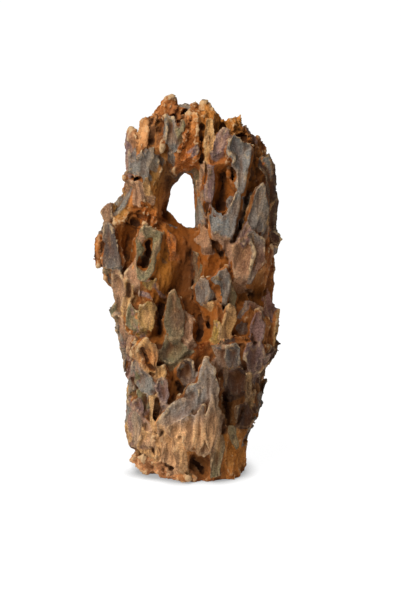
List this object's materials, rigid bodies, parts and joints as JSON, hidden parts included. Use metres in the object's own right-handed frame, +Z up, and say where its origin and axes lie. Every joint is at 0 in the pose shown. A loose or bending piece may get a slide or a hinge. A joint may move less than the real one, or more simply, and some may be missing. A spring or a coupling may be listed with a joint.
{
  "type": "aquarium dragon stone",
  "caption": "Tall weathered clay rock with ridged plates, pits and a swim-through hole near the top, cut flat below to stand upright in an aquarium.",
  "frame": {"origin": "middle of the flat base that the stone stands on", "axes": "+Z up along the stone's height, the face with the large plates and the hole's wide mouth looks along -Y, +X to its right"},
  "size_m": [0.1223, 0.0687, 0.2482],
  "materials": {
    "stone": "matte, weathered, orange-brown clay rock with gray plates"
  },
  "bodies": {
    "root": {"dragon_stone": "stone"}
  },
  "joints": []
}
